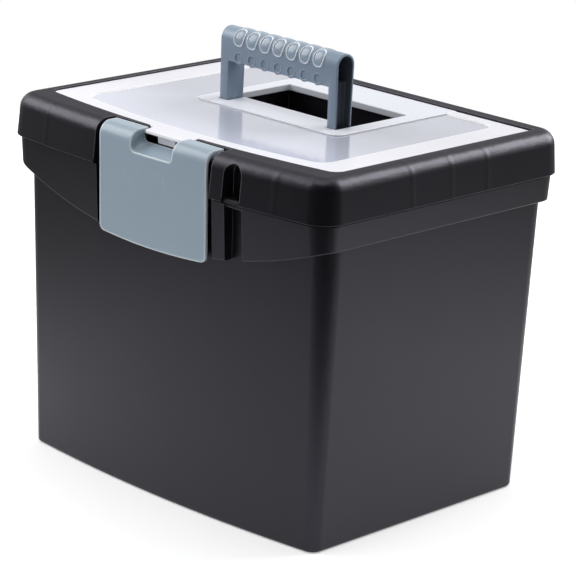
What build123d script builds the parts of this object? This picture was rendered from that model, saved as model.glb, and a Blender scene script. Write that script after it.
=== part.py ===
from build123d import *
from dataclasses import dataclass, replace
from math import copysign, hypot
import os

# Portable file box for letter-size hanging folders, closed, standing on its base.
# Millimetres. +Z is up, -Y is the bowed front with the latch, +X is the right-hand side seen from
# the front. The origin is on the standing face, midway between the lid's front and rear corners.

# ---------------------------------------------------------------- driving dimensions
lid_width = 336.6  # across the lid's lower edge
lid_depth = 258.7  # lid's lower edge, from the front corners to the rear
lid_bow = 10.3  # how far the lid's front bulges between its corners
lid_corner = 20.0
lid_draft = 0.08  # every drafted wall leans in by this much per millimetre
lid_shoulder = 11.5  # radius over the lid's top edge
lid_height = 32.5

parting = 249.9  # height of the lid's lower edge
parting_gap = 1.3

wall = 2.5
skin = 2.0  # inner walls of the organiser
floor = 3.0

tub_inset_side = 14.45  # at the base, in from the lid's lower edge
tub_inset_front = 18.8
tub_inset_rear = 17.0
tub_bow = 9.7
tub_corner = 9.5
tub_draft = 0.03
tub_foot_round = 2.5

band_inset = 3.1  # the band under the lid stands in from the lid's edge
band_draft = 0.06
band_side_drop = 20.9  # from the parting to the band's lower edge along the sides
band_front_drop = 50.4  # and at the middle of the front and the rear, where it dips in an arch
band_round = 1.2
band_blend = 15.0  # radius where the arch runs out into the sides
rim_round = 0.5  # along the rims that meet at the parting

cover_inset_side = 17.5  # from the lid's lower edge in to the cover
cover_inset_front = 27.25
cover_inset_rear = 21.05
cover_bow = 12.6
cover_corner = 9.0
cover_sink = 1.1  # below the lid's top
cover_rim = 3.0  # thickness of the cover's raised rim
cover_panel = 1.8  # thickness of its sunken glossy panel
cover_pin = 3.0
cover_pin_reach = 3.0
cover_saddle_size = 6.0
lip_wall = 1.6
lip_depth = 2.5
thumb_thickness = 2.0
thumb_reach = 6.0  # from the latch's rear edge to the tab's tip
thumb_corner = 3.0
thumb_root = 8.0  # the tab starts this far behind the cover's front
thumb_flare = 3.0  # its root is wider than the scoop by this much on each side
thumb_gap = 2.0  # and its tip narrower
hook_width = 18.0
hook_reach = 9.0
hook_thickness = 2.0
barb_height = 1.5
edge_round = 0.7
panel_inset_side = 25.6  # from the cover's edge in to the panel
panel_inset_front = 13.4
panel_inset_rear = 12.3
panel_corner = 12.0

plate_margin = 13.0  # beside the handle's well
plate_front = 23.7
plate_corner = 8.0
peg_radius = 2.0
peg_length = 7.0
peg_inset = 5.6
well_front = 6.5  # front edge of the well, between the notches for the legs
plate_flange = 5.0  # depth of the lip round the plate's hole

tray_depth = 45.0  # from the cover's top to the floor of the organiser
tray_inset = 4.0  # the organiser's walls stand this far inside the cover's edge
tray_lean = 1.2  # and lean in by this much down to its floor
tray_flange = 1.2  # round its top, where it hangs on the lid's ledge
well_depth = 29.0
divider_height = 34.0

handle_width = 122.0
handle_clear = 30.4  # from the plate up to the grip
handle_grip_height = 25.3
handle_leg = 8.2
handle_foot_radius = 8.4
handle_grip_radius = 9.4
handle_wall = 2.2
handle_axis_y = -2.1
handle_axis_drop = 11.8  # pivot below the plate's top
handle_pin = 8.0
bump_count = 7
bump_pitch = 13.9
bump_height = 0.8
bump_width = 11.2
bump_reach = 2.9  # down from the grip's middle to a ring's round ends
pad_radius = 4.6
pad_drop = 0.8  # the pads reach this far under the grip
leg_gap = 1.3  # between a leg and the notch's inner edge
well_gap = 1.5  # between a leg and the side of the well

latch_width = 113.0
latch_sink = 0.1  # below the lid's top
latch_drop = 52.3  # from the parting to the latch's foot
latch_bottom_arc = 2.4
latch_thickness = 2.5
latch_shoulder = 10.0
latch_hood = 19.65  # from the lid's foremost point back to the latch's rear edge
latch_corner = 5.0
latch_pin = 4.0
latch_proud = 0.5  # at the top, over the lid's drafted face
latch_lean = 0.0314
latch_clear = 2.3  # under the latch's top
ear_thickness = 3.0
latch_lip = 28.0  # the lip inside stops this much short of the latch's width
catch_height = 12.4
scoop_width = 44.0
scoop_lip_drop = 15.3  # from the latch's top down to the scoop's front lip
scoop_rear_drop = 9.8
scoop_depth = 15.0
scoop_corner = 4.5

hasp_offset = 12.0  # from the latch's recess to the padlock slot beside it
hasp_width = 17.0
hasp_depth = 14.0
hasp_crown = 4.0  # from the lid's top down to the crown of the slot's arch
hasp_hole = 5.6
hasp_rim = 1.4  # tab left in front of the hole
hasp_tab = 2.4  # thickness of each of the two tabs at the parting
hasp_inset = 2.2  # the lid's tab stands this far behind the lid's face
hasp_step = 1.2  # and the tub's tab this far behind the band's

hinge_radius = 4.0
hinge_pin = 4.0
hinge_span = 90.0  # each rear hinge stands this far from the middle
knuckle = 14.0  # length of each of a hinge's three knuckles
web_drop = 16.0  # height of a web under the tub's knuckles
web_rise = 9.4  # and over the lid's

rail_inset = 4.3  # from the tub's wall to the crest that the folder hooks hang on
rail_stop = 15.5  # the rails stop this far inside the tub's front
rail_crest = 2.4
rail_shelf = 4.0
rail_height = 6.0

# ---------------------------------------------------------------- clearances
fit_gap = 0.6  # between the cover and the rebate it lies in
seat_gap = 0.3  # under pieces that rest on one another
insert_gap = 0.4  # round the organiser in the lid
running = 0.08  # radial, pins in their bores
latch_gap = 5.0  # recess beside the latch
recess_depth = 7.5  # recess behind the lid's face
swing_gap = 0.4  # beside knuckles and legs that turn
peg_gap = 0.03  # radial, pegs pressed into their bosses
bore_skin = 0.6  # left at the end of a blind bore

FAR = 400.0


# ---------------------------------------------------------------- plan shapes
@dataclass(frozen=True)
class Plan:
    """A rounded rectangle in plan, whose front edge bulges towards -Y."""

    half: float
    front: float
    back: float
    bow: float
    corner: float

    def grown(self, by):
        return replace(self, half=self.half + by, front=self.front + by, back=self.back + by,
                       corner=self.corner + by)

    def face(self, z):
        left, right = (-self.half, -self.front), (self.half, -self.front)
        edges = Curve() + [
            ThreePointArc(left, (0, -self.front - self.bow), right),
            Polyline(right, (self.half, self.back), (-self.half, self.back), left),
        ]
        flat = make_face(edges)
        return Pos(0, 0, z) * fillet(flat.vertices(), self.corner)

    def front_at(self, x):
        return -self.front - self.bow * (1 - (x / self.half) ** 2)


def prism(low, z_low, high, z_high):
    return loft([low.face(z_low), high.face(z_high)], ruled=True)


def column(plan, z_low, z_high):
    """Solid with upright walls."""
    return extrude(plan.face(z_low), z_high - z_low)


def tapered(plan, draft, z_plan, z_low, z_high):
    """Solid between two heights, for a plan given at z_plan that grows by draft per millimetre."""
    return prism(plan.grown(draft * (z_low - z_plan)), z_low,
                 plan.grown(draft * (z_high - z_plan)), z_high)


def block(x0, x1, y0, y1, z0, z1):
    centre = ((x0 + x1) / 2, (y0 + y1) / 2, (z0 + z1) / 2)
    return Pos(*centre) * Box(x1 - x0, y1 - y0, z1 - z0)


def rod(radius, x0, x1, y, z):
    """Cylinder along X."""
    return Pos((x0 + x1) / 2, y, z) * Rot(0, 90, 0) * Cylinder(radius, abs(x1 - x0))


def post(radius, x, y, z0, z1):
    return Pos(x, y, (z0 + z1) / 2) * Cylinder(radius, z1 - z0)


def both_sides(shape):
    return shape + mirror(shape, Plane.YZ)


def side_profile(*points):
    """Face in the YZ plane through (y, z) points."""
    return Plane.YZ * make_face(Polyline(*points, points[0]))


# ---------------------------------------------------------------- plans
lid_plan = Plan(lid_width / 2, lid_depth / 2, lid_depth / 2, lid_bow, lid_corner)
tub_plan = Plan(lid_plan.half - tub_inset_side, lid_plan.front - tub_inset_front,
                lid_plan.back - tub_inset_rear, tub_bow, tub_corner)
band_plan = lid_plan.grown(-band_inset)
cover_plan = Plan(lid_plan.half - cover_inset_side, lid_plan.front - cover_inset_front,
                  lid_plan.back - cover_inset_rear, cover_bow, cover_corner)
panel_plan = Plan(cover_plan.half - panel_inset_side, cover_plan.front - panel_inset_front,
                  cover_plan.back - panel_inset_rear, cover_bow, panel_corner)
tray_plan = cover_plan.grown(-tray_inset)

lid_top = parting + lid_height
latch_top = lid_top - latch_sink
latch_bottom = parting - latch_drop
latch_plan = lid_plan.grown(latch_proud - lid_draft * (latch_top - latch_shoulder - parting))
latch_rear = lid_plan.front_at(0) + latch_hood
scoop_lip = latch_top - scoop_lip_drop
scoop_rear = latch_top - scoop_rear_drop

band_top = parting - parting_gap
band_side_height = parting - band_side_drop
band_front_height = parting - band_front_drop
cover_top = lid_top - cover_sink
ledge = cover_top - cover_rim - seat_gap
tray_floor = cover_top - tray_depth
well_floor = cover_top - well_depth
hinge_y = lid_plan.back + hinge_radius + 0.9
hinge_z = parting - 0.4
handle_axis_z = cover_top - handle_axis_drop
handle_top = cover_top + handle_clear + handle_grip_height
well_width = handle_width + 2 * well_gap
well_back = handle_axis_y + handle_top - handle_axis_z + bump_height + fit_gap
plate_width = well_width + 2 * plate_margin
leg_notch_front = handle_axis_y - handle_foot_radius - 2 * swing_gap
latch_half = latch_width / 2
recess_half = latch_half + latch_gap
hasp_left = recess_half + hasp_offset
pocket_half = scoop_width / 2 + 4.5
pocket_floor = scoop_lip - 5.0
thumb_tip = latch_rear - thumb_reach
latch_axis_y = latch_rear - 3.5
latch_axis_z = latch_top - 4.8
latch_swing = hypot(latch_rear - latch_axis_y, latch_top - latch_axis_z) + swing_gap
recess_rear = latch_axis_y + latch_swing
latch_path = (hinge_z - latch_bottom) / (hinge_y - lid_plan.front_at(0))
catch_low = latch_bottom + 2.0
lip_height = catch_low + 4.5
cover_barrel = cover_rim / 2 + 1.0
cover_axis_y = cover_plan.back - cover_barrel
cover_axis_z = cover_top - cover_barrel
hasp_top = lid_top - hasp_crown
hasp_back = lid_plan.front_at(0) + hasp_depth
hasp_right = hasp_left + hasp_width
hasp_x = hasp_left + hasp_width / 2
hasp_tab_front = band_plan.front_at(hasp_x) + hasp_step
hasp_hole_y = hasp_tab_front + hasp_rim + hasp_hole / 2


# ---------------------------------------------------------------- tub
def band_arch(rise):
    """Everything above the arched lower edge of the band, which is raised by rise."""
    side, low = band_side_height + rise, band_front_height + rise
    reach = band_plan.half - rise - band_draft * (band_top - side) - band_blend * 0.2
    arch = Curve() + [
        ThreePointArc((-reach, side), (0, low), (reach, side)),
        Polyline((reach, side), (FAR, side), (FAR, FAR), (-FAR, FAR), (-FAR, side), (-reach, side)),
    ]
    face = make_face(arch)
    ends = face.vertices().sort_by(SortBy.DISTANCE)[:2]
    return extrude(Plane.XZ * fillet(ends, band_blend), FAR, both=True)


def tub_shell(offset, z_low, z_high):
    return tapered(tub_plan.grown(-offset), tub_draft, 0, z_low, z_high)


def band_shell(offset, z_high):
    """The band's outside, grown inwards by offset, above its arched lower edge."""
    low = band_front_height - 5
    return tapered(band_plan.grown(-offset), band_draft, band_top, low, z_high) & band_arch(offset)


def outer_low_edges(band):
    """Edges round the foot of the band, without those between the arch and its ends."""
    low = band.edges().filter_by_position(Axis.Z, 0, band_side_height + 0.1)
    within = band_plan.half - band_draft * (band_top - band_side_height) - 0.1
    inner = low.filter_by_position(Axis.Y, -tub_plan.front, tub_plan.front) \
        .filter_by_position(Axis.X, -within, within)
    return [edge for edge in low if edge not in inner]


def channels(grow, z_low):
    """Behind the latch and the padlock, from z_low up, and wider by grow on each side."""
    latch_side = recess_half + grow
    return block(-latch_side, latch_side, -FAR, 0, z_low, FAR) \
        + block(hasp_left - grow, hasp_right + grow, -FAR, 0, z_low, FAR)


def hinge_knuckle(centre, wall_y, wall_z):
    """Knuckle round the rear hinge's axis, with a web to the wall that reaches up or down to wall_z."""
    x0, x1 = centre - knuckle / 2, centre + knuckle / 2
    tangent = hinge_z + copysign(0.6 * hinge_radius, wall_z - hinge_z)
    web = side_profile((wall_y, hinge_z), (hinge_y, hinge_z),
                       (hinge_y + 0.8 * hinge_radius, tangent), (wall_y, wall_z))
    return rod(hinge_radius, x0, x1, hinge_y, hinge_z) + Pos(x0, 0, 0) * extrude(web, knuckle)


def folder_rail():
    """Shelf and crest that the hooks of hanging folders ride on, along the right-hand wall."""
    shelf = band_side_height + wall
    half = tub_plan.front - rail_stop
    into_wall = tub_plan.half + tub_draft * shelf - wall / 2
    crest = into_wall - wall / 2 - rail_inset
    rail = block(crest - rail_crest / 2, into_wall, -half, half, shelf - rail_shelf, shelf)
    return rail + block(crest - rail_crest / 2, crest + rail_crest / 2, -half, half, shelf,
                        shelf + rail_height)


def make_tub():
    body = tub_shell(0, 0, band_top)
    body = fillet(body.faces().sort_by(Axis.Z)[0].edges(), tub_foot_round)
    behind = band_front_height - 8
    band = band_shell(0, band_top)
    band = fillet(outer_low_edges(band), band_round)
    band = fillet(band.faces().sort_by(Axis.Z)[-1].edges(), rim_round)
    outer = body + (band - channels(0, behind))
    inner = tub_shell(wall, floor, lid_top) + (band_shell(wall, lid_top) - channels(wall, 0))
    shell = outer - inner + both_sides(folder_rail())

    # ridge that the latch's lip rides over, its lower flank along the lip's path
    face_y = tub_plan.grown(tub_draft * catch_low).front_at(0)
    catch = side_profile((face_y + wall / 2, catch_low), (face_y, catch_low),
                         (face_y - latch_path * catch_height, catch_low + catch_height),
                         (face_y + wall / 2, catch_low + 1.4 * catch_height))
    half = (latch_width - latch_lip) / 2
    shell += Pos(-half, 0, 0) * extrude(catch, 2 * half)

    # lower half of the hasp
    tab = block(hasp_left - 1, hasp_right + 1, hasp_tab_front, face_y + wall / 2 + 1,
                band_top - hasp_tab, band_top)
    shell += tab - post(hasp_hole / 2, hasp_x, hasp_hole_y, 0, FAR)

    for side in (-1, 1):
        for end in (-1, 1):
            centre = side * hinge_span + end * (knuckle + swing_gap)
            shell += hinge_knuckle(centre, band_plan.back - wall / 2, hinge_z - web_drop)
        shell -= hinge_bore(side, hinge_pin / 2)
    return shell


def hinge_bore(side, radius):
    reach = 2 * knuckle
    return rod(radius, side * hinge_span - reach, side * hinge_span + reach, hinge_y, hinge_z)


# ---------------------------------------------------------------- lid
def lid_envelope(offset, z_low, z_high, shoulder):
    solid = tapered(lid_plan.grown(-offset), -lid_draft, parting, z_low, z_high)
    return fillet(solid.faces().sort_by(Axis.Z)[-1].edges(), shoulder)


def lid_outside():
    outside = lid_envelope(0, parting, lid_top, lid_shoulder)
    return fillet(outside.faces().sort_by(Axis.Z)[0].edges(), rim_round)


def lid_shell():
    """The lid's skin, with the rebate's surround and the housings of the latch and the padlock."""
    seat = cover_plan.grown(fit_gap + wall)
    kept = column(seat, ledge - wall - tray_flange, lid_top)
    side = recess_half + wall
    housing = block(-side, side, -FAR, recess_rear + wall, parting, FAR)
    inner_front = lid_plan.front_at(side) + recess_depth + wall
    trough_floor = latch_axis_z - latch_swing - wall
    housing -= block(-recess_half, recess_half, inner_front, FAR, 0, pocket_floor - wall)
    for x0, x1 in ((-recess_half, -pocket_half - wall), (pocket_half + wall, recess_half)):
        housing -= block(x0, x1, inner_front, FAR, 0, trough_floor)
    kept += housing
    kept += block(hasp_left - wall, hasp_right + wall, -FAR, hasp_back + wall, parting, FAR)
    hollow = lid_envelope(wall, parting - 1, lid_top - wall, lid_shoulder - wall)
    return lid_outside() - (hollow - kept)


def latch_recess():
    """Room for the latch in the lid's front, the pocket of its scoop and the trough it turns in."""
    recess = block(-recess_half, recess_half, -FAR, recess_rear, parting - 1, FAR)
    recess -= lid_envelope(recess_depth, parting - 1, latch_top - latch_thickness - latch_clear,
                           lid_shoulder - 2 * wall)
    recess += block(-pocket_half, pocket_half, -FAR, recess_rear, pocket_floor, FAR)
    return recess + rod(latch_swing, -recess_half, recess_half, latch_axis_y, latch_axis_z)


def hasp_slot():
    """Arched slot through the lid's front, beside the latch."""
    spring = hasp_top - hasp_width / 2
    low = parting - 2
    arch = Curve() + [
        Polyline((hasp_left, spring), (hasp_left, low), (hasp_right, low), (hasp_right, spring)),
        ThreePointArc((hasp_right, spring), (hasp_x, hasp_top), (hasp_left, spring)),
    ]
    return Pos(0, hasp_back, 0) * extrude(Plane.XZ * make_face(arch), FAR)


def cover_rebate():
    """Rebate that the cover and the plate lie in, and the hole below it for the organiser."""
    seat = cover_plan.grown(fit_gap)
    cut = column(seat, ledge - tray_flange, lid_top + 1)
    cut += both_sides(block(seat.half - seat.corner, seat.half, seat.back - seat.corner, seat.back,
                            ledge, lid_top + 1))
    channel = scoop_width / 2 + thumb_flare + fit_gap
    cut += block(-channel, channel, recess_rear - 1, -cover_plan.front, ledge, FAR)
    hole = tray_plan.grown(skin + insert_gap)
    return cut + column(hole, parting, ledge)


def cover_saddle():
    """Thicker ledge under the cover's right-hand barrel."""
    front = tray_plan.back + skin
    saddle = block(plate_width / 2, lid_plan.half, front, front + cover_saddle_size,
                   ledge - cover_saddle_size, ledge - tray_flange)
    return saddle & tapered(lid_plan.grown(-wall / 2), -lid_draft, parting, parting, lid_top)


def cover_grooves():
    """Room for the cover's two barrels to turn."""
    return both_sides(rod(cover_barrel + swing_gap, plate_width / 2, cover_plan.half + fit_gap,
                          cover_axis_y, cover_axis_z))


def make_lid():
    tab = block(hasp_left - 1, hasp_right + 1, lid_plan.front_at(hasp_x) + hasp_inset, hasp_back + 1,
                parting, parting + hasp_tab)
    tab -= post(hasp_hole / 2, hasp_x, hasp_hole_y, 0, FAR)
    shell = lid_shell() + both_sides(cover_saddle())
    shell = shell - latch_recess() - hasp_slot() - cover_rebate() - cover_grooves() + tab
    shell -= both_sides(rod(cover_pin / 2 + running, cover_plan.half,
                            cover_plan.half + cover_pin_reach + swing_gap, cover_axis_y, cover_axis_z))

    # bores of the latch, and the rear hinge's middle knuckles
    shell -= both_sides(rod(latch_pin / 2 + running, latch_half, recess_half + wall - bore_skin,
                            latch_axis_y, latch_axis_z))
    for side in (-1, 1):
        shell += hinge_knuckle(side * hinge_span, lid_plan.back - wall / 2, hinge_z + web_rise)
        shell -= rod(hinge_pin / 2 + running, side * hinge_span - knuckle,
                     side * hinge_span + knuckle, hinge_y, hinge_z)
    return shell


# ---------------------------------------------------------------- organiser
def well_walls():
    """Half width, front and back of the handle's well, outside the plate's flange."""
    grow = skin + seat_gap
    return well_width / 2 + grow, leg_notch_front - grow, well_back + grow


def peg_places():
    x = plate_width / 2 - peg_inset
    return [(side * x, y) for side in (-1, 1)
            for y in (-plate_front + peg_inset, (well_back + cover_plan.back) / 2)]


def compartments():
    """The U of compartments, the handle's well between its arms, and the hollow round the well."""
    half = plate_width / 2
    island = block(-half, half, -plate_front, FAR, 0, FAR)
    divider = block(half - skin, half, -FAR, 0, 0, tray_floor + divider_height)
    cut = prism(tray_plan.grown(-tray_lean), tray_floor, tray_plan, ledge)
    cut -= island + both_sides(divider)
    x, front, back = well_walls()
    under = block(-half + skin, half - skin, -plate_front + skin, tray_plan.back - tray_lean, 0,
                  ledge - wall)
    under -= block(-x - skin, x + skin, front - skin, back + skin, well_floor - skin, FAR)
    return cut + under + block(-x, x, front, back, well_floor, FAR)


def make_organiser():
    box = prism(tray_plan.grown(skin - tray_lean), tray_floor - skin, tray_plan.grown(skin), ledge)
    flange = cover_plan.grown(fit_gap - insert_gap)
    box += column(flange, ledge - tray_flange, ledge)
    box = box - compartments() - cover_grooves()

    # stub axles of the handle, and bosses for the plate's pegs
    inside = well_walls()[0]
    stub = rod(handle_pin / 2 + skin, handle_width / 2 + swing_gap, inside + skin / 2, handle_axis_y,
               handle_axis_z)
    stub += rod(handle_pin / 2, handle_width / 2 - handle_leg + swing_gap, inside, handle_axis_y,
                handle_axis_z)
    box += both_sides(stub)
    for x, y in peg_places():
        box += post(peg_radius + skin, x, y, ledge - wall - peg_length, ledge - wall / 2)
        box -= post(peg_radius, x, y, ledge - wall - peg_length - 2, FAR)
    return box


# ---------------------------------------------------------------- cover
def opening_outline(half, front, corner):
    """Rectangle open-ended to the rear, with its two front corners rounded."""
    face = make_face(Polyline((-half, front), (half, front), (half, cover_plan.back),
                              (-half, cover_plan.back), (-half, front)))
    return fillet(face.vertices().sort_by(Axis.Y)[:2], corner)


def thumb_tab():
    """Tab in front of the cover, reaching into the latch's scoop, with the hook under it."""
    root = cover_plan.front_at(0) + thumb_root
    wide, narrow = scoop_width / 2 + thumb_flare, scoop_width / 2 - thumb_gap
    outline = make_face(Polyline((-wide, root), (-narrow, thumb_tip), (narrow, thumb_tip),
                                 (wide, root), (-wide, root)))
    outline = fillet(outline.vertices().sort_by(Axis.Y)[:2], thumb_corner)
    tab = Pos(0, 0, cover_top - thumb_thickness) * extrude(outline, thumb_thickness)
    tab -= column(panel_plan, ledge, lid_top)
    back, top = latch_rear - 1, cover_top - thumb_thickness / 2
    front, foot = back - hook_thickness, cover_top - hook_reach
    hook = side_profile((back, top), (back, foot), (front + 0.6, foot + 1),
                        (front + 0.6, foot + 1 + barb_height), (front, top))
    return tab + Pos(-hook_width / 2, 0, 0) * extrude(hook, hook_width)


def cover_lip():
    """Low rib under the cover that finds the organiser's rim, clear of the plate and the hinge."""
    low = cover_top - cover_rim
    rib = tray_plan.grown(-fit_gap - 0.4)
    inside = rib.grown(-lip_wall)
    lip = column(rib, low - lip_depth, low + 0.5) - column(inside, low - 3, low + 1)
    clear = plate_width / 2 + fit_gap + 3
    lip -= block(-clear, clear, 0, FAR, 0, FAR)
    return lip - block(-FAR, FAR, cover_axis_y - cover_barrel - 3, FAR, 0, FAR)


def make_cover():
    low = cover_top - cover_rim
    sheet = column(cover_plan, low, cover_top)
    sheet = fillet(sheet.faces().sort_by(Axis.Z)[-1].edges(), edge_round)
    sheet -= prism(panel_plan, low + cover_panel, panel_plan.grown(0.6), cover_top)
    half = plate_width / 2 + fit_gap
    opening = opening_outline(half, -plate_front - fit_gap, plate_corner + fit_gap)
    sheet -= Pos(0, 0, low - 1) * extrude(opening, cover_rim + 2)
    sheet += thumb_tab() + cover_lip()

    # the rear edge is round about the hinge axis, and ends in a pin on each side
    behind = block(-FAR, FAR, cover_axis_y, FAR, 0, FAR)
    sheet -= behind - rod(cover_barrel, -FAR, FAR, cover_axis_y, cover_axis_z)
    barrel = rod(cover_barrel, half + 1.5, cover_plan.half - 0.8, cover_axis_y, cover_axis_z)
    barrel += rod(cover_pin / 2, cover_plan.half - 2, cover_plan.half + cover_pin_reach, cover_axis_y,
                  cover_axis_z)
    return sheet + both_sides(barrel)


# ---------------------------------------------------------------- handle plate
def well_outline(grow):
    """Hole of the plate: the well behind, with a notch in each front corner for a leg."""
    half = well_width / 2 + grow
    inner = handle_width / 2 - handle_leg - leg_gap - grow
    front = leg_notch_front - grow
    points = [(-half, front), (-inner, front), (-inner, well_front - grow), (inner, well_front - grow),
              (inner, front), (half, front), (half, well_back + grow), (-half, well_back + grow)]
    return make_face(Polyline(*points, points[0]))


def make_handle_plate():
    low = ledge + seat_gap
    outline = opening_outline(plate_width / 2, -plate_front, plate_corner)
    plate = Pos(0, 0, low) * extrude(outline, cover_top - low)
    plate -= block(-FAR, FAR, cover_plan.back - seat_gap, FAR, 0, FAR)
    plate = fillet(plate.faces().sort_by(Axis.Z)[-1].edges(), edge_round)
    plate += Pos(0, 0, cover_top - plate_flange) * extrude(well_outline(skin), plate_flange - 1)
    plate -= Pos(0, 0, cover_top - plate_flange - 1) * extrude(well_outline(0), plate_flange + 3)
    for x, y in peg_places():
        plate += post(peg_radius - peg_gap, x, y, ledge - wall - peg_length + 1, low + 1)
    return plate


# ---------------------------------------------------------------- handle
def handle_profile(inset):
    foot, grip = handle_foot_radius - inset, handle_grip_radius - inset
    y, z0, z1 = handle_axis_y, handle_axis_z, handle_top - handle_grip_radius
    outline = Curve() + [
        Polyline((y - foot, z0), (y - grip, z1)),
        ThreePointArc((y - grip, z1), (y, z1 + grip), (y + grip, z1)),
        Polyline((y + grip, z1), (y + foot, z0)),
        ThreePointArc((y + foot, z0), (y, z0 - foot), (y - foot, z0)),
    ]
    return Plane.YZ * make_face(outline)


def cross_post(radius, x, z):
    """Cylinder along Y, through the whole grip."""
    return Pos(x, handle_axis_y, z) * Rot(90, 0, 0) * Cylinder(radius, 2 * handle_grip_radius + 1)


def grip_bumps(x, grip_low):
    """One ring over the top of the grip, round at both ends, and one pad under it, at x."""
    centre_z = handle_top - handle_grip_radius
    half = bump_width / 2
    ring = rod(handle_grip_radius + bump_height, x - half, x + half, handle_axis_y, centre_z)
    ring -= rod(handle_grip_radius - 0.6, x - half, x + half, handle_axis_y, centre_z)
    rims = ring.edges().filter_by(GeomType.CIRCLE).group_by(SortBy.RADIUS)[-1]
    ring = chamfer(rims, bump_height - 0.1)
    end_z = centre_z - bump_reach + half
    ring &= cross_post(half, x, end_z) + block(-FAR, FAR, -FAR, FAR, end_z, FAR)
    pad = cross_post(pad_radius, x, grip_low + pad_radius - pad_drop)
    above = block(-FAR, FAR, -FAR, FAR, grip_low + handle_wall, FAR)
    return ring + (pad - (above & extrude(handle_profile(0.4), handle_width / 2, both=True)))


def make_handle():
    half = handle_width / 2
    inner_half = half - handle_leg
    grip_low = cover_top + handle_clear
    bar = extrude(handle_profile(0), half, both=True)
    bar -= block(-inner_half, inner_half, -FAR, FAR, 0, grip_low)
    hollow = extrude(handle_profile(handle_wall), half, both=True)
    web = inner_half + handle_wall
    bar -= hollow - block(-web, web, -FAR, FAR, 0, grip_low + handle_wall)
    for index in range(bump_count):
        bar += grip_bumps((index - (bump_count - 1) / 2) * bump_pitch, grip_low)
    bore = rod(handle_pin / 2 + running, inner_half - 1, half + 1, handle_axis_y, handle_axis_z)
    return bar - both_sides(bore)


# ---------------------------------------------------------------- latch
def latch_envelope(inset):
    low = latch_bottom - 10
    top = latch_plan.grown(-inset)
    body = prism(top.grown(-latch_lean * (latch_top - low)), low, top, latch_top - inset)
    return fillet(body.faces().sort_by(Axis.Z)[-1].edges(), latch_shoulder - inset)


def latch_scoop():
    """The notch for the thumb in the latch's top: straight sides, and a floor that rises inwards."""
    half, front = scoop_width / 2, latch_plan.front_at(0)
    rear = front + scoop_depth
    over, ahead, behind = latch_top + 9, front - 9, latch_rear + 5
    cut = Pos(-half, 0, 0) * extrude(
        side_profile((ahead, scoop_lip), (front + latch_thickness, scoop_lip), (rear, scoop_rear),
                     (behind, scoop_rear), (behind, over), (ahead, over)), scoop_width)
    floor_faces = cut.faces().filter_by_position(Axis.Z, scoop_lip - 0.1, scoop_rear + 0.1)
    return fillet(floor_faces.edges().filter_by(Axis.X, reverse=True), scoop_corner)


def scoop_pan():
    """Sheet under the scoop's floor, with a cheek on each side."""
    half, front = scoop_width / 2 + skin, latch_plan.front_at(0)
    rear = front + scoop_depth
    pan = side_profile((front + 0.5, scoop_lip - skin), (front + latch_thickness, scoop_lip - skin),
                       (rear, scoop_rear - skin), (rear, latch_top), (front + 0.5, latch_top))
    return Pos(-half, 0, 0) * extrude(pan, 2 * half)


def latch_ear():
    """Ear and pivot at the latch's right-hand top corner."""
    y, z, root = latch_axis_y, latch_axis_z, latch_top - 1
    ear = side_profile((y - 8, root), (y - 4, z - 2.4), (y, z - 3), (y + 3, z), (y + 3.4, root))
    pin = rod(latch_pin / 2, latch_half - 1, recess_half + wall - bore_skin - swing_gap, y, z)
    ears = Pos(latch_half - ear_thickness, 0, 0) * extrude(ear, ear_thickness) + pin
    return ears & block(0, FAR, -FAR, latch_rear, 0, FAR)


def latch_lip_rib():
    """Rib inside the foot of the latch, whose edge rides over the tub's catch."""
    root = latch_plan.front_at(0) + latch_thickness + 1.5
    low = latch_bottom + 3
    face_y = tub_plan.grown(tub_draft * catch_low).front_at(0)
    edge = face_y - latch_path * (lip_height - catch_low) - swing_gap
    rib = side_profile((root, low), (edge, lip_height - 2), (edge, lip_height), (root, lip_height + 4))
    half = (latch_width - latch_lip) / 2
    return Pos(-half, 0, 0) * extrude(rib, 2 * half)


def make_latch():
    outer = latch_envelope(0)
    edge_z = latch_bottom + latch_bottom_arc
    outline = Curve() + [
        ThreePointArc((-latch_half, edge_z), (0, latch_bottom), (latch_half, edge_z)),
        Polyline((latch_half, edge_z), (latch_half, FAR), (-latch_half, FAR), (-latch_half, edge_z)),
    ]
    face = Plane.XZ * make_face(outline)
    face = fillet(face.vertices().sort_by(Axis.Z)[:2], latch_corner)
    clip = extrude(face, FAR) & block(-FAR, FAR, -FAR, latch_rear, 0, FAR)
    plate = (outer - latch_envelope(latch_thickness)) & clip
    plate += scoop_pan() & outer
    return plate - latch_scoop() + both_sides(latch_ear()) + latch_lip_rib()


# ---------------------------------------------------------------- hinge pins
def make_hinge_pin(side):
    reach = 1.5 * knuckle + swing_gap  # flush with the outer knuckles
    return rod(hinge_pin / 2, side * hinge_span - reach, side * hinge_span + reach, hinge_y, hinge_z)


def main():
    os.makedirs("parts", exist_ok=True)
    pieces = {
        "tub": make_tub(),
        "lid": make_lid(),
        "organiser": make_organiser(),
        "cover": make_cover(),
        "handle_plate": make_handle_plate(),
        "handle": make_handle(),
        "latch": make_latch(),
        "hinge_pin_left": make_hinge_pin(-1),
        "hinge_pin_right": make_hinge_pin(1),
    }
    for name, piece in pieces.items():
        export_step(piece, f"parts/{name}.step")


if __name__ == "__main__":
    main()
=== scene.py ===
"""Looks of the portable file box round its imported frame: finishes, carrying handle and studio."""
import logging
import math
from collections.abc import Callable, Iterator
from contextlib import contextmanager
from dataclasses import dataclass
from enum import Enum

import bmesh
import bpy
from mathutils import Matrix, Vector


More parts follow.
